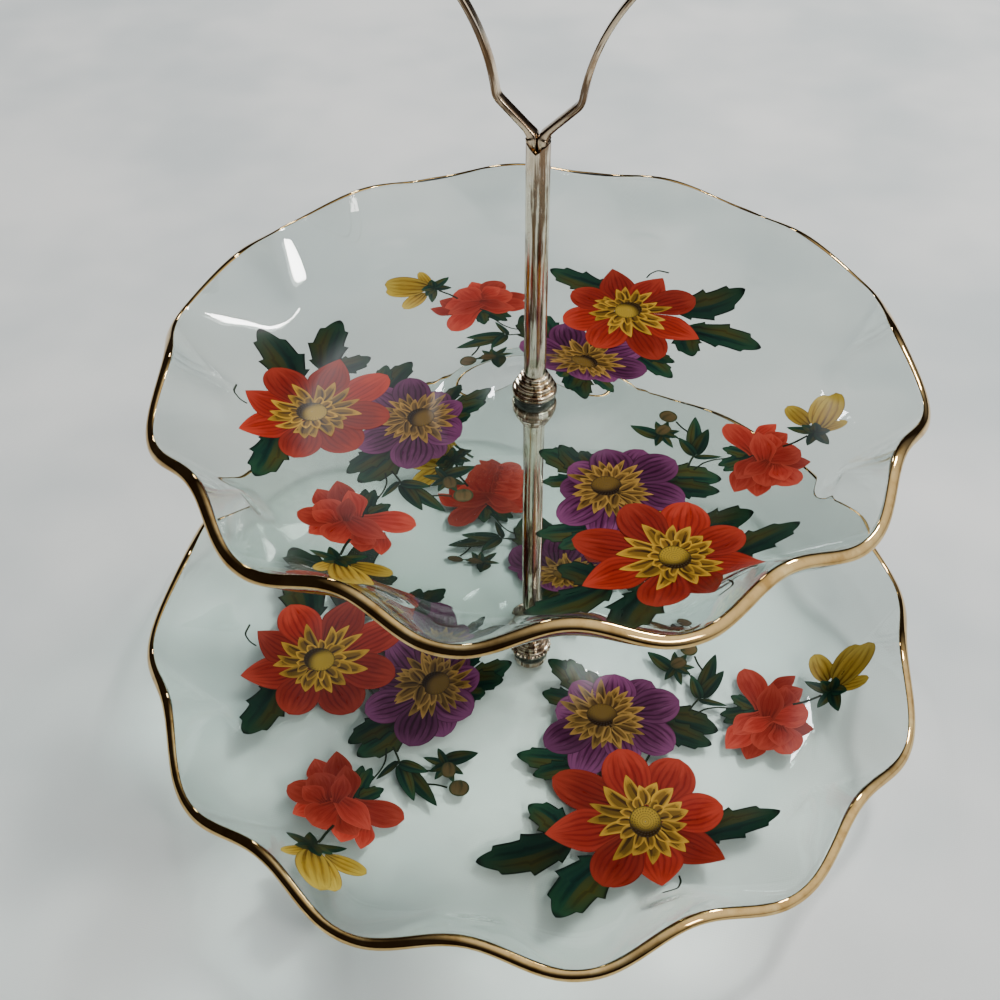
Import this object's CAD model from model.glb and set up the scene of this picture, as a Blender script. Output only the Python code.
import math
import random

import bmesh
import bpy
import numpy as np
from mathutils import Matrix, Vector


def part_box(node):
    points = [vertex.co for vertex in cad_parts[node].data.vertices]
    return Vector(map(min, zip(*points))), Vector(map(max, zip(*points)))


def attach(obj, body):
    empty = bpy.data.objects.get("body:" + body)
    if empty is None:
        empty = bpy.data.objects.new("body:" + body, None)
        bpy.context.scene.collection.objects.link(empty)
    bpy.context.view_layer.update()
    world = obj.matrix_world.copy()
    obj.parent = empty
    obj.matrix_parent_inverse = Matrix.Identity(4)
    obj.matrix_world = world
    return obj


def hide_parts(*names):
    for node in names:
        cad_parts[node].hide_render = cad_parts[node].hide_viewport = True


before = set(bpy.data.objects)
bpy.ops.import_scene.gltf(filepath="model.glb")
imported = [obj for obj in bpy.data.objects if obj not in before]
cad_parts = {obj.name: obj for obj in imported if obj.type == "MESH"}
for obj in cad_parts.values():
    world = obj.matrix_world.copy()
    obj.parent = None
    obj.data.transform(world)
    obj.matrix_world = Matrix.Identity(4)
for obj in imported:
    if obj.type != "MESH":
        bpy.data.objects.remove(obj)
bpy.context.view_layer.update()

MM = 0.001
GRAIN_STRETCH = 0.045       # how much the plating's drawn grain is stretched along each piece
rng = random.Random(7)

# ---------------------------------------------------------------- the glass, as in the CAD
GLASS = 3.2 * MM
FLUTES = 12
CENTRE_RAISE = 4.5 * MM
RAISE_INNER = 8.5 * MM
RAISE_OUTER = 30.0 * MM
WALL_START = 0.62
FLUTE_START = 0.80
FLUTE_BLEND = 0.32
CREASE = 0.25
HOLE_R = 4.0 * MM
EDGE_REACH = 0.85 * MM      # how far the rounded rim stands out past the middle surface's end
RIM_INSET = 0.03 * MM       # the glass stays this far under the gilt
GILT_SKIN = 0.02 * MM
GILT_START = 4.0            # the gilt's turn round the rim, in degrees from the top
GILT_SPAN = 172.0
GILT_WAVER = 0.03
AROUND = FLUTES * 36


def smoothstep(start, end, value):
    t = np.clip((value - start) / (end - start), 0.0, 1.0)
    return t * t * (3.0 - 2.0 * t)


def soft_positive(value):
    return 0.5 * (value + np.sqrt(value * value + CREASE * CREASE))


class Plate:
    """One fluted plate: its surfaces as functions of a share of the radius and an angle."""

    def __init__(self, node, body, radius, depth, out, dip, phase_deg):
        self.node = node
        self.body = body
        self.radius = radius * MM
        self.depth = depth * MM
        self.out = out * MM
        self.dip = dip * MM
        self.phase = math.radians(phase_deg)
        self.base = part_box(node)[0][2]

    def middle(self, share, angle):
        wall = np.maximum(0.0, (share - WALL_START) / (1.0 - WALL_START))
        start = GLASS / 2.0
        height = start + (self.depth - self.dip - start) * wall * wall
        height = height + CENTRE_RAISE * (1.0 - smoothstep(RAISE_INNER, RAISE_OUTER, share * self.radius))
        flute = np.maximum(0.0, (share - FLUTE_START) / (1.0 - FLUTE_START))
        lobe = np.cos(FLUTES * (angle - self.phase))
        spread = flute ** 0.35 + flute ** 3 - 1.0
        lift = soft_positive(spread - lobe) - soft_positive(np.float64(-2.0))
        height = height + self.dip * lift * smoothstep(0.0, FLUTE_BLEND, flute)
        reach = share * self.radius + self.out * lobe * flute * flute
        return np.stack([reach * np.cos(angle), reach * np.sin(angle), height + self.base], -1)

    def frame_at(self, share, angle):
        """The middle point, the unit normal and the unit direction towards the rim."""
        step = 0.0015
        along = self.middle(share + step, angle) - self.middle(share - step, angle)
        around = self.middle(share, angle + step) - self.middle(share, angle - step)
        normal = np.cross(along, around)
        normal /= np.linalg.norm(normal, axis=-1, keepdims=True)
        along /= np.linalg.norm(along, axis=-1, keepdims=True)
        return self.middle(share, angle), normal, along

    def top(self, share, angle, lift=0.0):
        point, normal, along = self.frame_at(share, angle)
        return point + normal * (GLASS / 2.0 + lift)

    def bottom(self, share, angle):
        point, normal, along = self.frame_at(share, angle)
        under = point - normal * (GLASS / 2.0)
        under[..., 2] = np.maximum(under[..., 2], self.base)
        return under

    def edge(self, angle, turn, inset=0.0):
        """A point of the rounded rim: turn is 0 on top, 90 degrees outermost, 180 below."""
        point, normal, along = self.frame_at(np.ones_like(angle), angle)
        turn = np.asarray(turn)[..., None]
        half = GLASS / 2.0 - inset
        reach = EDGE_REACH - inset
        return point + normal * np.cos(turn) * half + along * np.sin(turn) * reach

    def over(self, x, y, lift):
        """Points on top of the glass above (x, y), raised by lift along the normal."""
        share = np.hypot(x, y) / self.radius
        angle = np.arctan2(y, x)
        for step in range(7):
            miss_x = x - self.top(share, angle, lift)[..., 0]
            miss_y = y - self.top(share, angle, lift)[..., 1]
            outward = miss_x * np.cos(angle) + miss_y * np.sin(angle)
            sideways = miss_y * np.cos(angle) - miss_x * np.sin(angle)
            share = np.clip(share + outward / self.radius, 0.01, 1.0)
            angle = angle + sideways / np.maximum(share * self.radius, 1.0 * MM)
        return self.top(share, angle, lift)


lower = Plate("lower_plate", "lower_plate", 120.0, 26.2, 2.57, 3.22, 19.0)
upper = Plate("upper_plate", "upper_plate", 100.0, 20.9, 2.40, 2.68, 31.7)


# ---------------------------------------------------------------- meshes
def new_object(name, vertices, faces, material, body, smooth=True):
    mesh = bpy.data.meshes.new(name)
    mesh.from_pydata([tuple(v) for v in vertices], [], faces)
    mesh.validate()
    if smooth:
        mesh.polygons.foreach_set("use_smooth", [True] * len(mesh.polygons))
    piece = bpy.data.objects.new(name, mesh)
    bpy.context.scene.collection.objects.link(piece)
    piece.data.materials.append(material)
    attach(piece, body)
    return piece


def grid_faces(rows, columns, wrap_rows=False, wrap_columns=False, start=0):
    """Quads between the points of a grid that is stored row by row."""
    faces = []
    for i in range(rows if wrap_rows else rows - 1):
        for j in range(columns if wrap_columns else columns - 1):
            a = i * columns + j
            b = i * columns + (j + 1) % columns
            c = ((i + 1) % rows) * columns + (j + 1) % columns
            d = ((i + 1) % rows) * columns + j
            faces.append((start + a, start + b, start + c, start + d))
    return faces


def sharp_where(piece, angle_deg):
    """Mark the edges that are sharper than this angle, so that smooth shading stops there."""
    mesh = bmesh.new()
    mesh.from_mesh(piece.data)
    limit = math.radians(angle_deg)
    for edge in mesh.edges:
        if len(edge.link_faces) == 2:
            edge.smooth = edge.calc_face_angle(0.0) < limit
    mesh.to_mesh(piece.data)
    mesh.free()


def turned(name, profile, material, body, segments=96, sharp=40):
    """A solid of revolution about the stem's axis from a closed (radius, z) outline."""
    angles = np.linspace(0.0, 2.0 * math.pi, segments, endpoint=False)
    rows = []
    for r, z in profile:
        rows.append(np.stack([r * np.cos(angles), r * np.sin(angles), np.full(segments, z)], -1))
    points = np.concatenate(rows)
    faces = grid_faces(len(profile), segments, wrap_rows=True, wrap_columns=True)
    piece = new_object(name, points, faces, material, body)
    sharp_where(piece, sharp)
    return piece


# ---------------------------------------------------------------- node materials
class Shade:
    """A material under construction: short names for the nodes it is made of."""

    def __init__(self, name, **sockets):
        self.material = bpy.data.materials.new(name)
        self.material.use_nodes = True
        self.nodes = self.material.node_tree.nodes
        self.links = self.material.node_tree.links
        self.shader = self.nodes["Principled BSDF"]
        for socket, value in sockets.items():
            self.shader.inputs[socket.replace("_", " ")].default_value = value

    def feed(self, socket, value):
        if isinstance(value, bpy.types.NodeSocket):
            self.links.new(value, socket)
        elif isinstance(value, tuple) and len(value) == 3 and socket.type == "RGBA":
            socket.default_value = (*value, 1.0)
        else:
            socket.default_value = value

    def to(self, socket, value):
        self.feed(self.shader.inputs[socket], value)

    def math(self, operation, a, b=0.0, c=0.0):
        node = self.nodes.new("ShaderNodeMath")
        node.operation = operation
        for socket, value in zip(node.inputs, (a, b, c)):
            self.feed(socket, value)
        return node.outputs[0]

    def coordinates(self, kind="Object"):
        return self.nodes.new("ShaderNodeTexCoord").outputs[kind]

    def uv(self):
        node = self.nodes.new("ShaderNodeSeparateXYZ")
        self.feed(node.inputs[0], self.coordinates("UV"))
        return node.outputs[0], node.outputs[1]

    def attribute(self, name):
        node = self.nodes.new("ShaderNodeAttribute")
        node.attribute_name = name
        return node.outputs["Fac"]

    def joined(self, x, y, z=0.0):
        node = self.nodes.new("ShaderNodeCombineXYZ")
        for socket, value in zip(node.inputs, (x, y, z)):
            self.feed(socket, value)
        return node.outputs[0]

    def noise(self, vector, scale, detail=3.0, roughness=0.55, distortion=0.0):
        node = self.nodes.new("ShaderNodeTexNoise")
        self.feed(node.inputs["Vector"], vector)
        node.inputs["Scale"].default_value = scale
        node.inputs["Detail"].default_value = detail
        node.inputs["Roughness"].default_value = roughness
        node.inputs["Distortion"].default_value = distortion
        return node.outputs["Fac"]

    def ramp(self, factor, *stops):
        """A smooth run of colours or numbers along the factor: (place, colour) stops."""
        node = self.nodes.new("ShaderNodeValToRGB")
        node.color_ramp.interpolation = "EASE"
        elements = node.color_ramp.elements
        while len(elements) < len(stops):
            elements.new(0.5)
        for element, (place, colour) in zip(elements, stops):
            element.position = place
            colour = colour if isinstance(colour, tuple) else (colour, colour, colour)
            element.color = (*colour, 1.0)
        self.feed(node.inputs["Fac"], factor)
        return node.outputs["Color"]

    def mix(self, factor, a, b, blend="MIX"):
        node = self.nodes.new("ShaderNodeMix")
        node.data_type = "RGBA"
        node.blend_type = blend
        self.feed(node.inputs[0], factor)
        self.feed(node.inputs[6], a)
        self.feed(node.inputs[7], b)
        return node.outputs[2]

    def bump(self, height, strength, distance):
        node = self.nodes.new("ShaderNodeBump")
        self.feed(node.inputs["Height"], height)
        node.inputs["Strength"].default_value = strength
        node.inputs["Distance"].default_value = distance
        self.to("Normal", node.outputs["Normal"])


def glass_material():
    """Clear slumped glass: faint waviness, a few seeds and smears; light passes for shadows."""
    m = Shade("fluted_glass", Roughness=0.0, IOR=1.5, Transmission_Weight=1.0,
              Base_Color=(0.73, 0.795, 0.765, 1.0))
    place = m.coordinates()
    wavy = m.noise(place, 16.0, 1.0)
    pitted = m.ramp(m.noise(place, 900.0, 2.0), (0.70, 0.0), (0.78, 1.0))
    height = m.math("ADD", wavy, m.math("MULTIPLY", pitted, 0.02))
    m.bump(height, 0.15, 0.8 * MM)
    clear = m.nodes.new("ShaderNodeBsdfTransparent")
    clear.inputs["Color"].default_value = (0.86, 0.90, 0.885, 1.0)
    path = m.nodes.new("ShaderNodeLightPath")
    both = m.nodes.new("ShaderNodeMixShader")
    out = m.nodes["Material Output"]
    m.links.new(path.outputs["Is Shadow Ray"], both.inputs[0])
    m.links.new(m.shader.outputs[0], both.inputs[1])
    m.links.new(clear.outputs[0], both.inputs[2])
    m.links.new(both.outputs[0], out.inputs["Surface"])
    return m.material


def gilt_material():
    """Burnished gold fired on the glass rim: brush drag, thin spots and soft wear."""
    m = Shade("gilt", Metallic=1.0)
    place = m.coordinates()
    drag = m.noise(place, 160.0, 4.0)
    fine = m.noise(place, 1400.0, 3.0)
    tone = m.ramp(drag, (0.30, (0.42, 0.25, 0.08)), (0.52, (0.60, 0.40, 0.16)), (0.75, (0.74, 0.54, 0.25)))
    m.to("Base Color", m.mix(m.ramp(fine, (0.62, 0.0), (0.80, 0.35)), tone, (0.30, 0.16, 0.05)))
    m.to("Roughness", m.math("MULTIPLY_ADD", drag, 0.08, 0.01))
    m.bump(m.math("ADD", m.math("MULTIPLY", drag, 0.7), m.math("MULTIPLY", fine, 0.3)), 0.15, 0.06 * MM)
    return m.material


def plated_material(name, shade, middle, bright, streak, along_strip=False):
    """Warm silver plate: drawn-out streaks of tarnish, hairline rubs and tiny pits."""
    m = Shade(name, Metallic=1.0)
    place = m.coordinates()
    node = m.nodes.new("ShaderNodeMapping")
    node.inputs["Scale"].default_value = (1.0, 1.0, GRAIN_STRETCH)
    m.feed(node.inputs["Vector"], place)
    lengthwise = m.coordinates("UV") if along_strip else node.outputs[0]
    drawn = m.noise(lengthwise, 620.0, 3.0)
    rubs = m.noise(lengthwise, 2600.0, 3.0)
    cloud = m.noise(place, 110.0, 4.0)
    pits = m.ramp(m.noise(place, 1800.0, 2.0), (0.66, 0.0), (0.74, 1.0))
    tone = m.ramp(cloud, (0.28, shade), (0.52, middle), (0.78, bright))
    tarnish = m.math("MULTIPLY_ADD", cloud, 0.35, m.math("MULTIPLY", drawn, 0.80))
    dark = m.ramp(tarnish, (0.53, 0.0), (0.62, 1.0))
    tone = m.mix(m.math("MULTIPLY", dark, 0.92), tone, streak)
    scratched = m.ramp(rubs, (0.58, 0.0), (0.70, 0.45))
    tone = m.mix(scratched, tone, bright)
    m.to("Base Color", m.mix(m.math("MULTIPLY", pits, 0.45), tone, streak))
    m.to("Roughness", m.math("MULTIPLY_ADD", cloud, 0.16, m.math("MULTIPLY_ADD", rubs, 0.10, 0.03)))
    m.bump(m.math("ADD", rubs, m.math("MULTIPLY", pits, 0.6)), 0.12, 0.05 * MM)
    return m.material


def brass_material():
    m = Shade("turned_brass", Metallic=1.0)
    place = m.coordinates()
    rings = m.noise(place, 700.0, 3.0)
    m.to("Base Color", m.ramp(rings, (0.3, (0.50, 0.35, 0.15)), (0.7, (0.72, 0.54, 0.26))))
    m.to("Roughness", m.math("MULTIPLY_ADD", rings, 0.25, 0.2))
    m.bump(rings, 0.2, 0.05 * MM)
    return m.material


def rubber_material():
    m = Shade("dark_rubber", IOR=1.5)
    place = m.coordinates()
    grain = m.noise(place, 1200.0, 4.0)
    m.to("Base Color", m.ramp(grain, (0.3, (0.030, 0.036, 0.030)), (0.7, (0.060, 0.068, 0.058))))
    m.to("Roughness", m.math("MULTIPLY_ADD", grain, 0.25, 0.45))
    m.bump(grain, 0.3, 0.05 * MM)
    return m.material


def printed_material(name, base, body_tone, edge, vein, vein_count, vein_depth=0.6, outline=0.9,
                     outline_width=0.16, second_half=None, base_reach=0.45):
    """Printed enamel of one petal or leaf: u runs across it, v from its base to its tip."""
    m = Shade(name, IOR=1.5, Specular_IOR_Level=0.12)
    u, v = m.uv()
    tone = m.attribute("tone")
    across = m.math("SUBTRACT", m.math("MULTIPLY", u, 2.0), 1.0)
    side = m.math("ABSOLUTE", across)
    brush = m.joined(m.math("MULTIPLY", u, 9.0), m.math("MULTIPLY", v, 2.2), m.math("MULTIPLY", tone, 9.0))
    strokes = m.noise(brush, 1.0, 4.0, 0.65)
    colour = m.ramp(m.math("ADD", v, m.math("MULTIPLY_ADD", strokes, 1.10, -0.55)),
                    (0.0, base), (base_reach, body_tone), (1.0, edge))
    if second_half:
        ragged = m.math("ADD", u, m.math("MULTIPLY_ADD", strokes, 0.12, -0.06))
        half = m.ramp(ragged, (0.47, 0.0), (0.53, 1.0))
        other = m.ramp(v, (0.0, base), (0.5, second_half), (1.0, edge))
        colour = m.mix(half, colour, other)
    drift = m.joined(m.math("MULTIPLY", u, 3.0), m.math("MULTIPLY", v, 1.6), m.math("ADD", tone, 4.0))
    wander = m.noise(drift, 1.6, 2.0)
    lines = m.math("SINE", m.math("MULTIPLY", m.math("ADD", u, m.math("MULTIPLY", wander, 0.10)),
                                  math.pi * 2.0 * vein_count))
    thin = m.ramp(lines, (0.55, 0.0), (0.95, 1.0))
    fade = m.ramp(v, (0.05, 1.0), (0.70, 0.75), (0.97, 0.0))
    colour = m.mix(m.math("MULTIPLY", m.math("MULTIPLY", thin, fade), vein_depth), colour, vein)
    light = m.ramp(lines, (0.0, 1.0), (0.35, 0.0))
    colour = m.mix(m.math("MULTIPLY", m.math("MULTIPLY", light, fade), 0.30), colour, edge)
    rim = m.math("MAXIMUM", side, m.math("MULTIPLY_ADD", v, 1.6, -0.6))
    line = m.ramp(rim, (1.0 - outline_width, 0.0), (1.0 - outline_width * 0.3, 1.0))
    colour = m.mix(m.math("MULTIPLY", line, outline), colour, vein)
    glow = m.ramp(rim, (0.55, 0.0), (1.0 - outline_width, 1.0), (1.0, 0.0))
    colour = m.mix(m.math("MULTIPLY", glow, 0.35), colour, edge)
    lighten = m.mix(1.0, colour, m.ramp(tone, (0.0, 0.62), (1.0, 1.10)), "MULTIPLY")
    m.to("Base Color", lighten)
    m.to("Roughness", m.math("MULTIPLY_ADD", strokes, 0.18, 0.22))
    m.bump(m.math("ADD", strokes, m.math("MULTIPLY", thin, -0.5)), 0.15, 0.03 * MM)
    return m.material


def dome_material(name, light, dark):
    """The printed flower centre: rings of dots that fade from lit to shaded."""
    m = Shade(name, IOR=1.5, Specular_IOR_Level=0.12)
    u, v = m.uv()
    x = m.math("SUBTRACT", u, 0.5)
    y = m.math("SUBTRACT", v, 0.5)
    radius = m.math("SQRT", m.math("ADD", m.math("MULTIPLY", x, x), m.math("MULTIPLY", y, y)))
    angle = m.math("ARCTAN2", y, x)
    rings = m.math("SINE", m.math("MULTIPLY", radius, 2.0 * math.pi * 13.0))
    spokes = m.math("SINE", m.math("MULTIPLY_ADD", angle, 26.0, m.math("MULTIPLY", radius, 18.0)))
    dots = m.ramp(m.math("ADD", rings, spokes), (0.35, 0.0), (0.95, 1.0))
    falloff = m.math("SUBTRACT", 0.62, m.math("MULTIPLY", radius, 0.9))
    shade = m.ramp(m.math("ADD", m.math("MULTIPLY", y, 0.9), falloff), (0.0, dark), (0.5, light))
    colour = m.mix(m.math("MULTIPLY", dots, 0.65), shade, dark)
    rim = m.ramp(radius, (0.42, 0.0), (0.5, 1.0))
    m.to("Base Color", m.mix(m.math("MULTIPLY", rim, 0.8), colour, (0.03, 0.018, 0.006)))
    m.to("Roughness", m.math("MULTIPLY_ADD", dots, 0.15, 0.25))
    m.bump(dots, 0.2, 0.03 * MM)
    return m.material


GLASS_MATERIAL = glass_material()
GILT = gilt_material()
PLATED = plated_material("silver_plate", (0.62, 0.50, 0.34), (0.86, 0.78, 0.63), (0.96, 0.92, 0.84),
                         (0.16, 0.085, 0.04))
HANDLE_PLATED = plated_material("handle_plate", (0.36, 0.23, 0.13), (0.72, 0.57, 0.40), (0.92, 0.85, 0.74),
                                (0.10, 0.05, 0.02), along_strip=True)
BRASS = brass_material()
RUBBER = rubber_material()
PRINTS = {
    "dahlia": printed_material("dahlia_print", (0.050, 0.0015, 0.0008), (0.200, 0.0085, 0.0040),
                               (0.340, 0.030, 0.014), (0.040, 0.0012, 0.0008), 8.0, vein_depth=0.34,
                               outline=0.20, outline_width=0.05, base_reach=0.55),
    "gold": printed_material("gold_print", (0.010, 0.004, 0.001), (0.060, 0.026, 0.003),
                             (0.42, 0.23, 0.018), (0.46, 0.26, 0.022), 1.0, vein_depth=0.0,
                             outline=0.9, outline_width=0.46, base_reach=0.60),
    "violet": printed_material("violet_print", (0.008, 0.0006, 0.006), (0.045, 0.0045, 0.030),
                               (0.150, 0.036, 0.110), (0.008, 0.0005, 0.005), 7.0, vein_depth=0.75,
                               outline=0.3, outline_width=0.05, base_reach=0.5),
    "stamen": printed_material("stamen_print", (0.008, 0.003, 0.001), (0.046, 0.021, 0.004),
                               (0.27, 0.15, 0.030), (0.31, 0.175, 0.036), 1.0, vein_depth=0.0,
                               outline=0.85, outline_width=0.46, base_reach=0.55),
    "coral": printed_material("coral_print", (0.085, 0.0022, 0.0012), (0.230, 0.0110, 0.0060),
                              (0.380, 0.046, 0.026), (0.460, 0.075, 0.042), 5.0, vein_depth=0.12,
                              outline=0.55, outline_width=0.07),
    "bud": printed_material("bud_print", (0.050, 0.022, 0.002), (0.270, 0.155, 0.010), (0.46, 0.33, 0.045),
                            (0.070, 0.032, 0.004), 4.0, vein_depth=0.45, outline=0.5, outline_width=0.08),
    "nut": printed_material("nut_print", (0.020, 0.030, 0.012), (0.085, 0.055, 0.020), (0.10, 0.075, 0.03),
                            (0.016, 0.035, 0.014), 2.0, vein_depth=0.4, outline=0.9, outline_width=0.30),
    "leaf": printed_material("leaf_print", (0.002, 0.006, 0.005), (0.003, 0.020, 0.015),
                             (0.010, 0.042, 0.020), (0.001, 0.003, 0.003), 3.0, vein_depth=0.45,
                             second_half=(0.040, 0.038, 0.007)),
    "stem": printed_material("stem_print", (0.006, 0.010, 0.006), (0.010, 0.018, 0.010),
                             (0.02, 0.03, 0.015), (0.004, 0.006, 0.004), 1.0),
    "dome": dome_material("dome_print", (0.34, 0.22, 0.022), (0.020, 0.010, 0.002)),
    "dark_dome": dome_material("dark_dome_print", (0.13, 0.075, 0.014), (0.012, 0.006, 0.003)),
}


# ---------------------------------------------------------------- plates
def build_glass(plate, name):
    angles = np.linspace(0.0, 2.0 * math.pi, AROUND, endpoint=False)
    inner = HOLE_R / plate.radius
    shares = np.concatenate([
        np.linspace(inner, 0.27, 24)[:-1], np.linspace(0.27, 0.60, 12)[:-1],
        np.linspace(0.60, FLUTE_START, 16)[:-1], np.linspace(FLUTE_START, 1.0, 44)])
    rows = [plate.top(np.full(AROUND, s), angles) for s in shares]
    turns = np.linspace(0.0, math.pi, 11)[1:-1]
    rows += [plate.edge(angles, t, RIM_INSET) for t in turns]
    rows += [plate.bottom(np.full(AROUND, s), angles) for s in shares[::-1]]
    faces = grid_faces(len(rows), AROUND, wrap_rows=True, wrap_columns=True)
    faces = [face[::-1] for face in faces]
    piece = new_object(name, np.concatenate(rows), faces, GLASS_MATERIAL, plate.body)
    sharp_where(piece, 50)
    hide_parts(plate.node)


def build_gilt(plate, name):
    """The gold line: a thin closed skin wrapped round the rim, its inner edges hand-brushed."""
    angles = np.linspace(0.0, 2.0 * math.pi, AROUND, endpoint=False)
    waver = np.zeros(AROUND)
    for k in range(1, 40):
        waver += math.sin(k * 1.7) / k ** 0.5 * np.cos(k * 5 * angles + rng.uniform(0.0, 6.28))
    waver *= GILT_WAVER / np.abs(waver).max()
    steps = 14
    outer = []
    inner = []
    for k in range(steps + 1):
        turn = math.radians(GILT_START + GILT_SPAN * k / steps) + waver * (1.0 if k in (0, steps) else 0.0)
        outer.append(plate.edge(angles, turn))
        inner.append(plate.edge(angles, turn, GILT_SKIN))
    rows = outer + inner[::-1]
    faces = [f[::-1] for f in grid_faces(len(rows), AROUND, wrap_rows=True, wrap_columns=True)]
    piece = new_object(name, np.concatenate(rows), faces, GILT, plate.body)


build_glass(lower, "lower_glass")
build_glass(upper, "upper_glass")
build_gilt(lower, "lower_gilt_line")
build_gilt(upper, "upper_gilt_line")


# ---------------------------------------------------------------- printed bouquets
def petal_outline(v):
    """Broad and rounded, with only a hint of a point."""
    body = 0.42 + 0.58 * smoothstep(0.0, 0.58, v)
    t = np.clip((v - 0.58) / 0.42, 0.0, 1.0)
    return body * (1.0 - t ** 2.1) ** 0.60


def keen_outline(v):
    """Broad, then drawn out to a soft point."""
    body = 0.40 + 0.60 * smoothstep(0.0, 0.52, v)
    t = np.clip((v - 0.50) / 0.50, 0.0, 1.0)
    return body * (1.0 - t ** 1.6) ** 0.95


def pointed_outline(v):
    """A slim blade that widens to its middle and runs out to a point."""
    return np.clip(v, 0.0, 1.0) ** 0.45 * (1.0 - v) ** 0.85 * 1.72


def leaf_outline(v):
    """A broad leaf with a toothed edge."""
    body = np.clip(v, 0.0, 1.0) ** 0.50 * (1.0 - v) ** 0.70 * 1.95
    tooth = (v * 3.4 + 0.30) % 1.0
    return body * (0.86 + 0.30 * tooth ** 2.2)


def oval_outline(v):
    return np.sqrt(np.clip(1.0 - (2.0 * v - 1.0) ** 2, 0.0, 1.0))


# The transfer is drawn on a sheet in millimetres; the dahlia's centre is its anchor.
DAHLIA_AT = (35.0, -63.5)
VIOLET_AT = (23.0, -26.0)
BUD_AT = (96.0, -18.0)
CELL = 1.6                  # shapes that share a cell of this size lie on different levels
FIRST_LIFT = 0.035
LEVEL_STEP = 0.006


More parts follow.
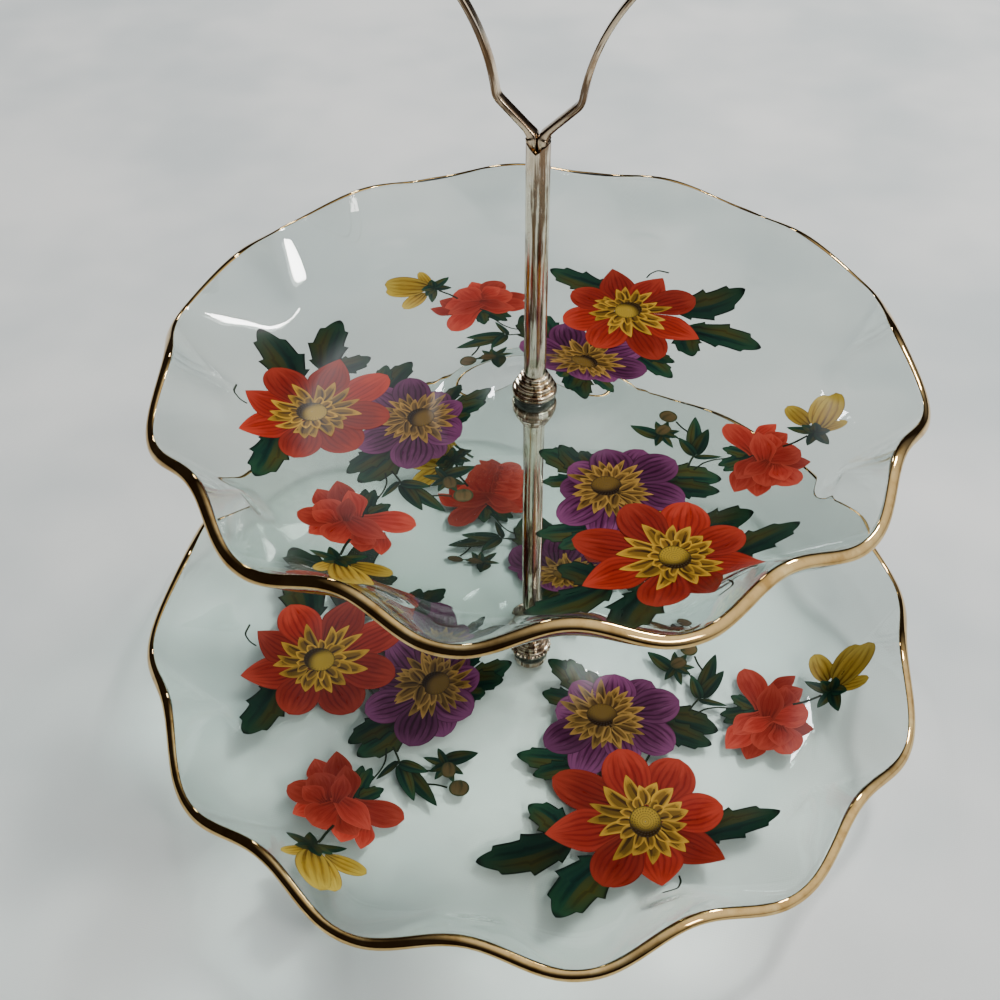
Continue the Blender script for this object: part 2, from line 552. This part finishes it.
class Bouquet:
    """One printed bouquet: flat shapes drawn on the sheet, then laid on the plate's glass."""

    def __init__(self, plate, name, centre, turn_deg, scale):
        self.plate = plate
        self.name = name
        self.centre = centre
        self.turn = math.radians(turn_deg)
        self.scale = scale * MM
        self.shift = (0.0, 0.0)
        self.covered = {}
        self.prints = {}

    def patch(self, kind, points, uvs, rows, columns):
        """Store one grid of drawn points, a level above everything it overlaps."""
        cells = {(round((x + self.shift[0]) / CELL), round((y + self.shift[1]) / CELL)) for x, y in points}
        level = 1 + max(self.covered.get(cell, 0) for cell in cells)
        self.covered.update(dict.fromkeys(cells, level))
        store = self.prints.setdefault(kind, {"points": [], "lift": [], "uv": [], "tone": [], "faces": []})
        start = len(store["points"])
        store["points"] += [(x + self.shift[0], y + self.shift[1]) for x, y in points]
        store["lift"] += [(FIRST_LIFT + LEVEL_STEP * level) * MM] * len(points)
        store["uv"] += list(uvs)
        store["tone"] += [rng.random()] * len(points)
        store["faces"] += grid_faces(rows, columns, start=start)

    def blade(self, kind, base, tip, half, outline, bend=0.0, lengthwise=16, across=8):
        """A petal or leaf from base to tip, with this half width."""
        base = np.array(base, float)
        along = np.array(tip, float) - base
        side = np.array([-along[1], along[0]])
        side /= np.linalg.norm(side)
        v = np.linspace(0.0, 1.0, lengthwise)
        u = np.linspace(-1.0, 1.0, across)
        grid_v, grid_u = np.meshgrid(v, u, indexing="ij")
        width = outline(grid_v) * half
        curve = bend * np.sin(math.pi * grid_v)
        points = base + along * grid_v[..., None] + side * (grid_u * width + curve)[..., None]
        uvs = np.stack([grid_u * 0.5 + 0.5, grid_v], -1)
        self.patch(kind, points.reshape(-1, 2), uvs.reshape(-1, 2), lengthwise, across)

    def florets(self, kind, centre, tips, half, start_r, bend=0.0):
        """Small pointed petals from a ring round the centre out to each tip."""
        for x, y in tips[::2] + tips[1::2]:
            a = math.atan2(y - centre[1], x - centre[0]) + rng.uniform(-0.16, 0.16)
            base = (centre[0] + start_r * math.cos(a), centre[1] + start_r * math.sin(a))
            self.blade(kind, base, (x, y), half * rng.uniform(0.80, 1.18), pointed_outline,
                       bend=bend * rng.choice((-1.0, 1.0)) * rng.uniform(0.4, 1.0), lengthwise=14, across=7)

    def ring(self, kind, centre, count, inner, outer, half, start_r, squash=1.0, first=0.0):
        """A regular ring of florets, each a little different."""
        tips = []
        for k in range(count):
            a = 2.0 * math.pi * (k + first) / count + rng.uniform(-0.09, 0.09)
            r = rng.uniform(inner, outer) * rng.choice((1.0, 0.93))
            tips.append((centre[0] + r * math.cos(a), centre[1] + r * squash * math.sin(a)))
        self.florets(kind, centre, tips, half, start_r, bend=0.5)

    def disc(self, kind, centre, radius, squash=1.0):
        """A round flower centre."""
        rings = 7
        spokes = 28
        r = np.linspace(0.02, 1.0, rings)
        a = np.linspace(0.0, 2.0 * math.pi, spokes)
        grid_r, grid_a = np.meshgrid(r, a, indexing="ij")
        x = grid_r * np.cos(grid_a)
        y = grid_r * np.sin(grid_a)
        points = np.stack([centre[0] + radius * x, centre[1] + radius * squash * y], -1)
        uvs = np.stack([x * 0.5 + 0.5, y * 0.5 + 0.5], -1)
        self.patch(kind, points.reshape(-1, 2), uvs.reshape(-1, 2), rings, spokes)

    def stroke(self, *route, width=0.5):
        """A thin printed stem along a smooth route of points."""
        points = np.array(route, float)
        steps = 6 * len(points)
        t = np.linspace(0.0, len(points) - 1.0, steps)
        x = np.interp(t, range(len(points)), points[:, 0])
        y = np.interp(t, range(len(points)), points[:, 1])
        soften = np.ones(5) / 5.0
        x[2:-2] = np.convolve(x, soften, "valid")
        y[2:-2] = np.convolve(y, soften, "valid")
        path = np.stack([x, y], -1)
        along = np.gradient(path, axis=0)
        side = np.stack([-along[:, 1], along[:, 0]], -1)
        side /= np.linalg.norm(side, axis=1, keepdims=True)
        grid = np.stack([path + side * width * k for k in (-0.5, 0.5)], 1)
        uvs = [(k, s / (steps - 1.0)) for s in range(steps) for k in (0.0, 1.0)]
        self.patch("stem", grid.reshape(-1, 2), uvs, steps, 2)

    def lay(self):
        """Make one piece of each print and lay it on the glass."""
        cos_t = math.cos(self.turn)
        sin_t = math.sin(self.turn)
        for kind, store in self.prints.items():
            flat = (np.array(store["points"]) - np.array(DAHLIA_AT)) * self.scale
            x = self.centre[0] * MM + flat[:, 0] * cos_t - flat[:, 1] * sin_t
            y = self.centre[1] * MM + flat[:, 0] * sin_t + flat[:, 1] * cos_t
            points = self.plate.over(x, y, np.array(store["lift"])[:, None])
            piece = new_object(self.name + "_" + kind, points, store["faces"], PRINTS[kind],
                               self.plate.body)
            layer = piece.data.uv_layers.new(name="print")
            uvs = np.array(store["uv"])
            index = np.empty(len(piece.data.loops), dtype=np.int32)
            piece.data.loops.foreach_get("vertex_index", index)
            layer.data.foreach_set("uv", uvs[index].ravel())
            tone = piece.data.attributes.new("tone", "FLOAT", "POINT")
            tone.data.foreach_set("value", np.array(store["tone"]))


def draw_dahlia_leaves(b):
    leaves = [((50, -69), (74.5, -62.5), 6.9, 0.8), ((24, -77), (8, -99.5), 9.2, -1.6),
              ((13, -70.5), (-15.5, -79.8), 7.8, 1.8), ((11, -70), (-0.5, -59.5), 6.0, -1.0)]
    for base, tip, half, bend in leaves:
        b.blade("leaf", base, tip, half, leaf_outline, bend=bend, lengthwise=44, across=9)
    b.stroke((43.3, -84), (43.6, -86.5), (42.4, -89.5), (38, -91), width=0.6)


def draw_violet_leaves(b):
    leaves = [((40, -25), (59.5, -30.0), 7.0, 1.0), ((41, -28), (57, -35.5), 5.4, -0.6),
              ((15, -43), (-4.8, -41.5), 5.6, 0.6), ((14, -45), (0.5, -49), 4.2, 0.0),
              ((18, -18), (4.6, -6.4), 5.4, -0.8), ((19, -17), (11.6, -5.4), 5.0, 0.6),
              ((21, -14), (18, -8.4), 3.4, 0.0), ((14, -20), (2.8, -19), 4.0, 0.4)]
    for base, tip, half, bend in leaves:
        b.blade("leaf", base, tip, half, leaf_outline, bend=bend, lengthwise=40, across=9)


def draw_sprig(b):
    """The small buds and narrow leaves between the violet flower and the coral one."""
    b.stroke((50.5, -22.5), (52.5, -19.5), (54.5, -17), width=0.7)
    b.stroke((52, -24), (56, -21.4), (60, -20.6), (66, -21), width=0.6)
    b.stroke((53, -9.5), (51.4, -7), (48.5, -4.6), width=0.6)
    b.stroke((56.5, -6), (54.8, -2.6), (54, 0.5), width=0.7)
    b.stroke((35.6, -43), (36.6, -41), (38, -38), width=0.8)
    for base, tip, half in [((55, -15), (61.2, 1.6), 3.6), ((54.6, -17), (63.4, -5.4), 3.4),
                            ((54.6, -17.5), (52.4, -7.6), 2.9), ((54, -18), (63.2, -19.9), 1.7),
                            ((46.5, -6), (38.2, 1.8), 3.6)]:
        b.blade("leaf", base, tip, half, pointed_outline, lengthwise=20)
    for tip in ((47.4, 2.2), (51.5, 1.2), (53.8, -4.4), (48.8, -12.2), (43.4, -10.2), (52.2, -7.5)):
        b.blade("leaf", (47.2, -4.4), tip, 1.9, pointed_outline, lengthwise=16)
    b.blade("nut", (49.5, 2.4), (55.0, 5.0), 3.2, oval_outline, lengthwise=18, across=10)
    b.blade("nut", (46.0, -4.4), (51.0, -1.0), 2.4, oval_outline, lengthwise=16)


def draw_coral(b):
    for tip in ((61.2, -26.6), (60.4, -23.6), (64.6, -15.8), (66.5, -27.2)):
        b.blade("leaf", (73.5, -21.5), tip, 3.4, leaf_outline, lengthwise=30)
    petals = [((77, -13), (86.5, -8.2), 3.1), ((79, -17), (88, -14.2), 4.4),
              ((80, -29), (88.8, -31.5), 3.8), ((73, -31), (67.2, -40.8), 4.3),
              ((78, -27), (80.8, -40.2), 5.0), ((72, -27), (61.2, -36.8), 4.6),
              ((74, -21), (70.2, -4.2), 4.9), ((76, -24), (88.4, -24.4), 6.2),
              ((78, -27), (71.5, -37.0), 5.0), ((74, -23), (64, -31.2), 4.2),
              ((79, -21), (83, -12.4), 4.4), ((75, -27), (79, -10.4), 4.4),
              ((77, -25), (67, -29.6), 3.2), ((79, -28), (78, -36.6), 3.8)]
    for base, tip, half in petals:
        b.blade("coral", base, tip, half, petal_outline if half > 4.8 else keen_outline,
                bend=rng.uniform(-0.7, 0.7))


def draw_bud(b):
    b.stroke((84, -20), (88, -19.7), (93, -18.4), width=0.9)
    b.blade("bud", (95.6, -13.6), (93.2, -0.8), 3.3, oval_outline, lengthwise=18)
    b.blade("bud", (97.5, -14.5), (105.2, -2.0), 3.6, oval_outline, lengthwise=18)
    b.blade("bud", (97.8, -18.0), (105.8, -19.6), 2.3, oval_outline, lengthwise=16)
    b.blade("bud", (97.0, -17.4), (108.4, -4.2), 4.5, oval_outline, lengthwise=20, bend=-0.6)
    for tip in ((88.8, -11.2), (91, -23.2), (96.6, -26.8), (99.8, -20.6), (93.6, -12.4), (97.6, -13.4)):
        b.blade("leaf", BUD_AT, tip, 2.5, pointed_outline, lengthwise=16)


def draw_violet(b):
    petals = [((25, -26), (14.5, -49), 6.8), ((24, -27), (31.5, -44), 6.0),
              ((22, -25), (7.2, -24.5), 6.4), ((24, -24), (12.6, -14.2), 6.0),
              ((26, -26), (39, -10.8), 6.2), ((22, -27), (4.0, -38.2), 6.8),
              ((26, -26), (27, -8.2), 7.4), ((30, -27), (44.6, -38), 7.0),
              ((29, -24), (47.8, -18.2), 7.2)]
    for base, tip, half in petals:
        b.blade("violet", base, tip, half, petal_outline, bend=rng.uniform(-0.6, 0.6),
                lengthwise=20, across=11)
    b.ring("stamen", VIOLET_AT, 20, 12.0, 15.4, 2.1, 4.0)
    b.ring("stamen", VIOLET_AT, 16, 9.2, 12.2, 2.2, 3.0, first=0.5)
    b.disc("dark_dome", (22.4, -25.2), 5.0, squash=0.92)
    front = [(28, -38), (22, -36), (36, -32.5), (31, -36), (33.5, -25)]
    b.florets("stamen", (25, -29), front, 2.0, 1.0, bend=0.5)


def draw_dahlia(b):
    petals = [((32, -60), (6.6, -49.4), 7.2, petal_outline),
              ((39, -66), (56.8, -79.2), 7.0, keen_outline),
              ((38, -60), (46.4, -41.2), 8.0, petal_outline),
              ((30, -65), (4.6, -69.4), 7.6, keen_outline),
              ((39, -63), (58.4, -58.2), 7.3, petal_outline),
              ((37, -68), (38.2, -87.8), 7.4, keen_outline),
              ((32, -68), (21.4, -87.2), 7.7, petal_outline),
              ((34, -60), (27.2, -38.2), 7.7, petal_outline)]
    for base, tip, half, outline in petals:
        b.blade("dahlia", base, tip, half, outline, bend=rng.uniform(-0.7, 0.7), lengthwise=22, across=13)
    tips = [(22.4, -52.2), (18, -58.6), (17.2, -64.8), (20.8, -69.6), (24.6, -77.8), (30.6, -76),
            (36.2, -79.4), (41.6, -76.8), (46, -75), (47.4, -71.4), (47.2, -64.6), (48, -59.8),
            (46.2, -56.8), (43.8, -52), (38.8, -50.2), (33.4, -51.4), (29.4, -47.8)]
    b.florets("gold", DAHLIA_AT, tips, 3.1, 5.0, bend=1.2)
    b.ring("gold", (35, -64), 12, 8.2, 10.4, 2.3, 4.4, first=0.3)
    b.disc("dome", (34.8, -64.2), 4.9, squash=1.12)


# Where each bouquet lies: the dahlia's centre, the way towards the violet flower, the size,
# and how far the violet flower's side is drawn in towards the dahlia.
SHEET_HEADING = math.degrees(math.atan2(VIOLET_AT[1] - DAHLIA_AT[1], VIOLET_AT[0] - DAHLIA_AT[0]))
PRINT_TURN = 12.0
PLACES = [
    (lower, "lower_bouquet_1", (-70.6, -4.5), -12.5, 1.0, 0.0),
    (lower, "lower_bouquet_2", (38.0, 62.0), -130.0, 1.0, 0.0),
    (lower, "lower_bouquet_3", (35.6, -63.0), 107.0, 1.0, 0.0),
    (upper, "upper_bouquet_1", (-61.0, -4.6), -3.0, 0.81, 3.5),
    (upper, "upper_bouquet_2", (27.6, 46.0), -117.0, 0.81, 3.5),
    (upper, "upper_bouquet_3", (34.8, -57.7), 121.5, 0.81, 3.5),
]
swing = math.radians(PRINT_TURN)
for plate, name, (x, y), heading, scale, gather in PLACES:
    centre = (x * math.cos(swing) - y * math.sin(swing), x * math.sin(swing) + y * math.cos(swing))
    bouquet = Bouquet(plate, name, centre, heading - SHEET_HEADING + PRINT_TURN, scale)
    inward = Vector((DAHLIA_AT[0] - VIOLET_AT[0], DAHLIA_AT[1] - VIOLET_AT[1])).normalized() * gather
    draw_dahlia_leaves(bouquet)
    bouquet.shift = tuple(inward)
    for draw in (draw_violet_leaves, draw_sprig, draw_coral, draw_bud, draw_violet):
        draw(bouquet)
    bouquet.shift = (0.0, 0.0)
    draw_dahlia(bouquet)
    bouquet.lay()


# ---------------------------------------------------------------- stem
COLLAR_STEPS = [(6.25, 2.0), (5.40, 1.6), (4.60, 1.4), (3.85, 1.3)]
COLLAR_WEB = 1.2
FIT = 0.03
RING_BULGE = 0.35
CLEAR_HOLE_R = 2.1
TUBE_R = 3.0
TUBE_BORE_R = 2.2
BEAD_COUNT = 30
BEAD_R = 0.62
BEAD_RING_R = 6.3
NOTCH_DEPTH = 2.5


def collar_outline(z, direction):
    """The collar's closed outline from its widest face at z, narrowing along direction."""
    points = [(CLEAR_HOLE_R, 0.0)]
    level = 0.0
    for radius, height in COLLAR_STEPS:
        for k in range(9):
            turn = math.pi * k / 8.0
            bulge = RING_BULGE * math.sin(turn)
            points.append((radius - RING_BULGE + bulge, level + height * (0.5 - 0.47 * math.cos(turn))))
        level += height
    socket = TUBE_R + FIT
    points += [(socket, level), (socket, COLLAR_WEB - FIT), (CLEAR_HOLE_R, COLLAR_WEB - FIT)]
    outline = [(r * MM, z + direction * h * MM) for r, h in points]
    return outline if direction > 0 else outline[::-1]


def tube_outline(low, high):
    nip = 0.18 * MM
    inner = TUBE_BORE_R * MM
    outer = TUBE_R * MM
    points = [(inner, low), (outer - nip, low), (outer, low + nip)]
    points += [(outer, low + (high - low) * k / 12.0) for k in range(1, 12)]
    points += [(outer, high - nip), (outer - nip, high), (inner, high)]
    return points


def build_collar(name, node, body, direction):
    low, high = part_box(node)
    z = low[2] if direction > 0 else high[2]
    piece = turned(name, collar_outline(z, direction), PLATED, body)
    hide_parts(node)
    return z


def build_beads(z):
    """The ring of beads round the lower collar's foot."""
    ring = bmesh.new()
    for k in range(BEAD_COUNT):
        a = 2.0 * math.pi * k / BEAD_COUNT
        x = BEAD_RING_R * MM * math.cos(a)
        y = BEAD_RING_R * MM * math.sin(a)
        place = Matrix.Translation((x, y, z + BEAD_R * MM))
        bmesh.ops.create_icosphere(ring, subdivisions=3, radius=BEAD_R * MM, matrix=place)
    mesh = bpy.data.meshes.new("lower_collar_beads")
    ring.to_mesh(mesh)
    ring.free()
    mesh.polygons.foreach_set("use_smooth", [True] * len(mesh.polygons))
    piece = bpy.data.objects.new("lower_collar_beads", mesh)
    bpy.context.scene.collection.objects.link(piece)
    mesh.materials.append(PLATED)
    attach(piece, "stem")


def build_tube(name, node, body):
    low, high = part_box(node)
    piece = turned(name, tube_outline(low[2], high[2]), PLATED, body)
    if node == "upper_tube":
        for vertex in piece.data.vertices:
            flank = high[2] - NOTCH_DEPTH * MM * (1.0 - abs(vertex.co.x) / (TUBE_R * MM))
            vertex.co.z = min(vertex.co.z, flank)
    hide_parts(node)


build_beads(build_collar("lower_stepped_collar", "lower_collar", "stem", 1))
build_collar("under_stepped_collar", "under_collar", "stem", -1)
build_collar("upper_stepped_collar", "upper_collar", "upper_collar", 1)
build_tube("lower_stem_tube", "lower_tube", "stem")
build_tube("upper_stem_tube", "upper_tube", "handle")

# ---------------------------------------------------------------- handle
STRIP_THICK = 1.5 * MM
STRIP_WIDTH = 3.2 * MM
STRIP_EDGE = 0.6 * MM
SWELL_END = 32.0 * MM       # the arms thicken from here down to the tube's mouth
ARM_SWELL = 0.40
FLARE_START = 0.3 * MM      # the flare at the mouth, its start and end above the tube
FLARE_END = 3.6 * MM
MOUTH_FLARE = 1.50
SPREAD_END = 3.0 * MM
MOUTH_SPREAD = 0.30
LEG_FILL = 6.0 * MM         # how far down the bore the thicker legs reach
LEG_SWELL = 1.85
LEG_X = 0.8 * MM
LEG_DEPTH = 12.0 * MM
LEG_STRAIGHT = 0.6 * MM
TURNS = [("bend", 1.8 * MM, 46.0), ("run", 10.6 * MM, 0.0), ("bend", 4.0 * MM, 8.0),
         ("bend", 50.0 * MM, 40.0)]


def loop_line():
    """Points and leans along one half of the loop, from inside the tube to the top."""
    x = LEG_X
    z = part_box("upper_tube")[1][2] - LEG_DEPTH
    lean = 0.0
    line = [(x, z, lean)]

    def run(length, pieces=6):
        nonlocal x, z
        for k in range(pieces):
            x += length / pieces * math.sin(lean)
            z += length / pieces * math.cos(lean)
            line.append((x, z, lean))

    def bend(radius, to_deg):
        nonlocal x, z, lean
        to = math.radians(to_deg)
        pieces = max(6, int(abs(to - lean) * radius / (0.7 * MM)))
        side = 1.0 if to > lean else -1.0
        first = lean
        centre = (x + side * radius * math.cos(first), z - side * radius * math.sin(first))
        for k in range(1, pieces + 1):
            lean = first + (to - first) * k / pieces
            x = centre[0] - side * radius * math.cos(lean)
            z = centre[1] + side * radius * math.sin(lean)
            line.append((x, z, lean))

    run(LEG_DEPTH + LEG_STRAIGHT)
    for kind, size, angle in TURNS:
        if kind == "bend":
            bend(size, angle)
        else:
            run(size)
    bend(x / math.cos(lean), -90.0)
    return line


def strip_section():
    """The flattened wire's section as (thickness, width) offsets, edges rounded."""
    points = []
    for sx, sy, first in ((1, 1, 0), (-1, 1, 90), (-1, -1, 180), (1, -1, 270)):
        for k in range(7):
            a = math.radians(first + 15.0 * k)
            points.append((sx * (STRIP_THICK / 2.0 - STRIP_EDGE) + STRIP_EDGE * math.cos(a),
                           sy * (STRIP_WIDTH / 2.0 - STRIP_EDGE) + STRIP_EDGE * math.sin(a)))
    return points


def build_loop():
    half = loop_line()
    other = [(-x, z, math.pi - lean) for x, z, lean in half[::-1]][1:]
    line = half + [(x, z, lean - 2.0 * math.pi) for x, z, lean in other]
    section = strip_section()
    vertices = []
    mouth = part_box("upper_tube")[1][2]
    girth = 2.0 * (STRIP_THICK + STRIP_WIDTH)
    route = 0.0
    strip_uv = []
    for step, (x, z, lean) in enumerate(line):
        if step > 0:
            route += math.hypot(x - line[step - 1][0], z - line[step - 1][1])
        across = (math.cos(lean), -math.sin(lean))
        above = z - mouth
        swell = 1.0
        spread = 1.0
        if above > 0.0:
            flare = MOUTH_FLARE * smoothstep(FLARE_END, FLARE_START, above)
            swell = 1.0 + ARM_SWELL * smoothstep(SWELL_END, 0.0, above) + flare
            spread = 1.0 + MOUTH_SPREAD * smoothstep(SPREAD_END, FLARE_START, above)
        elif above > -LEG_FILL:
            swell = LEG_SWELL
        for k, (thick, wide) in enumerate(section):
            outward = thick * across[0] * x > 0.0
            grown = thick * (swell if outward else 1.0)
            vertices.append((x + grown * across[0], wide * spread, z + grown * across[1]))
            strip_uv.append((girth * k / len(section), route * GRAIN_STRETCH))
    count = len(section)
    faces = grid_faces(len(line), count, wrap_columns=True)
    faces.append(tuple(range(count)))
    faces.append(tuple(range(len(vertices) - count, len(vertices)))[::-1])
    piece = new_object("loop_handle", vertices, faces, HANDLE_PLATED, "handle")
    mesh = bmesh.new()
    mesh.from_mesh(piece.data)
    bmesh.ops.recalc_face_normals(mesh, faces=mesh.faces)
    mesh.to_mesh(piece.data)
    mesh.free()
    sharp_where(piece, 60)
    layer = piece.data.uv_layers.new(name="strip")
    index = np.empty(len(piece.data.loops), dtype=np.int32)
    piece.data.loops.foreach_get("vertex_index", index)
    layer.data.foreach_set("uv", np.array(strip_uv)[index].ravel())
    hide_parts("handle_loop")


build_loop()

for node, material in [("base_screw", PLATED), ("base_washer", RUBBER), ("lower_washer", RUBBER),
                       ("under_washer", RUBBER), ("upper_washer", RUBBER), ("lower_tube_bush", BRASS),
                       ("middle_bush", BRASS), ("upper_tube_bush", BRASS), ("fork_bush", BRASS),
                       ("joiner_stud", BRASS)]:
    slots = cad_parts[node].material_slots
    for slot in slots:
        slot.material = material


# ---------------------------------------------------------------- floor, light, camera
FLOOR_HALF = 5.0
FLOOR_Z = -0.1 * MM
THREAD_SCALE = 420.0
THREAD_WANDER = 1.5
BRIGHT_SIDE = (0.62, 0.10, 0.74)        # the room is brightest this way, and darker to front and back
FRONT_AND_BACK = -0.5
ROOM_STRENGTH = 1.35
ROOM_TONES = [(0.16, (0.018, 0.015, 0.014)), (0.40, (0.18, 0.18, 0.18)), (0.66, (0.66, 0.67, 0.68)),
              (0.92, (1.0, 1.0, 0.98))]
LENS = 44.8
SENSOR = 36.0
CAMERA_SWING = 12.0
CAMERA_DISTANCE = 0.2691
CAMERA_HEIGHT = 0.3315
CAMERA_YAW = -2.08
CAMERA_PITCH = 43.58
CAMERA_ROLL = -0.52


def build_floor():
    m = Shade("pale_cotton", Roughness=0.9)
    place = m.coordinates()
    threads = []
    for direction in ("X", "Y"):
        wave = m.nodes.new("ShaderNodeTexWave")
        wave.bands_direction = direction
        wave.inputs["Scale"].default_value = THREAD_SCALE
        wave.inputs["Distortion"].default_value = THREAD_WANDER
        m.feed(wave.inputs["Vector"], place)
        threads.append(wave.outputs["Fac"])
    weave = m.math("ADD", *threads)
    cloud = m.noise(place, 7.0, 3.0)
    m.to("Base Color", m.ramp(cloud, (0.30, (0.60, 0.65, 0.66)), (0.70, (0.84, 0.85, 0.84))))
    m.bump(weave, 0.15, 0.08 * MM)
    mesh = bpy.data.meshes.new("floor")
    size = FLOOR_HALF
    corners = [(-size, -size, FLOOR_Z), (size, -size, FLOOR_Z), (size, size, FLOOR_Z), (-size, size, FLOOR_Z)]
    mesh.from_pydata(corners, [], [(0, 1, 2, 3)])
    floor = bpy.data.objects.new("floor", mesh)
    mesh.materials.append(m.material)
    bpy.context.scene.collection.objects.link(floor)


def area_light(name, place, aim, size, power, colour):
    light = bpy.data.lights.new(name, "AREA")
    light.shape = "RECTANGLE"
    light.size, light.size_y = size
    light.energy = power
    light.color = colour
    lamp = bpy.data.objects.new(name, light)
    bpy.context.scene.collection.objects.link(lamp)
    lamp.location = place
    lamp.rotation_euler = (Vector(aim) - Vector(place)).to_track_quat("-Z", "Y").to_euler()


def build_lights():
    area_light("window_back_right", (0.55, 0.75, 1.20), (0.0, 0.0, 0.05), (0.20, 0.20), 15.0,
               (1.0, 0.985, 0.96))
    area_light("window_back_left", (-0.55, 1.00, 0.90), (0.0, 0.0, 0.1), (0.12, 0.16), 3.0,
               (0.94, 0.97, 1.0))
    area_light("lamp_front_right", (0.80, -0.60, 0.90), (0.0, 0.0, 0.1), (0.20, 0.20), 4.0,
               (1.0, 0.96, 0.90))
    world = bpy.data.worlds.new("soft_room")
    bpy.context.scene.world = world
    world.use_nodes = True
    nodes = world.node_tree.nodes
    links = world.node_tree.links
    where = nodes.new("ShaderNodeTexCoord")
    facing = nodes.new("ShaderNodeVectorMath")
    facing.operation = "DOT_PRODUCT"
    facing.inputs[1].default_value = BRIGHT_SIDE
    links.new(where.outputs["Generated"], facing.inputs[0])
    split = nodes.new("ShaderNodeSeparateXYZ")
    links.new(where.outputs["Generated"], split.inputs[0])
    depth = nodes.new("ShaderNodeMath")
    depth.operation = "MULTIPLY"
    links.new(split.outputs["Y"], depth.inputs[0])
    links.new(split.outputs["Y"], depth.inputs[1])
    narrowed = nodes.new("ShaderNodeMath")
    narrowed.operation = "MULTIPLY_ADD"
    links.new(depth.outputs[0], narrowed.inputs[0])
    narrowed.inputs[1].default_value = FRONT_AND_BACK
    links.new(facing.outputs["Value"], narrowed.inputs[2])
    ramp = nodes.new("ShaderNodeValToRGB")
    links.new(narrowed.outputs[0], ramp.inputs["Fac"])
    while len(ramp.color_ramp.elements) < len(ROOM_TONES):
        ramp.color_ramp.elements.new(0.5)
    for element, (place, colour) in zip(ramp.color_ramp.elements, ROOM_TONES):
        element.position = place
        element.color = (*colour, 1.0)
    links.new(ramp.outputs[0], nodes["Background"].inputs["Color"])
    nodes["Background"].inputs["Strength"].default_value = ROOM_STRENGTH
    backdrop = nodes.new("ShaderNodeBackground")
    backdrop.inputs["Color"].default_value = (0.62, 0.65, 0.66, 1.0)
    path = nodes.new("ShaderNodeLightPath")
    either = nodes.new("ShaderNodeMixShader")
    links.new(path.outputs["Is Camera Ray"], either.inputs[0])
    links.new(nodes["Background"].outputs[0], either.inputs[1])
    links.new(backdrop.outputs[0], either.inputs[2])
    links.new(either.outputs[0], nodes["World Output"].inputs["Surface"])


def build_camera():
    """The viewpoint: in front, a little to the right, looking down at about 44 degrees."""
    camera_data = bpy.data.cameras.new("camera")
    camera = bpy.data.objects.new("camera", camera_data)
    bpy.context.scene.collection.objects.link(camera)
    bpy.context.scene.camera = camera
    camera_data.lens = LENS
    camera_data.sensor_width = SENSOR
    swing = math.radians(CAMERA_SWING)
    side = CAMERA_DISTANCE * math.sin(swing)
    back = CAMERA_DISTANCE * math.cos(swing)
    camera_place = Vector((side, -back, CAMERA_HEIGHT))
    yaw = math.radians(CAMERA_YAW) - swing
    pitch = math.radians(CAMERA_PITCH)
    roll = math.radians(CAMERA_ROLL)
    forward = Vector((math.sin(yaw) * math.cos(pitch), math.cos(yaw) * math.cos(pitch), -math.sin(pitch)))
    right = Vector((math.cos(yaw), -math.sin(yaw), 0.0))
    up = right.cross(forward)
    right, up = right * math.cos(roll) + up * math.sin(roll), up * math.cos(roll) - right * math.sin(roll)
    turn = Matrix((right, up, -forward)).transposed()
    camera.matrix_world = Matrix.Translation(camera_place) @ turn.to_4x4()


build_floor()
build_lights()
build_camera()
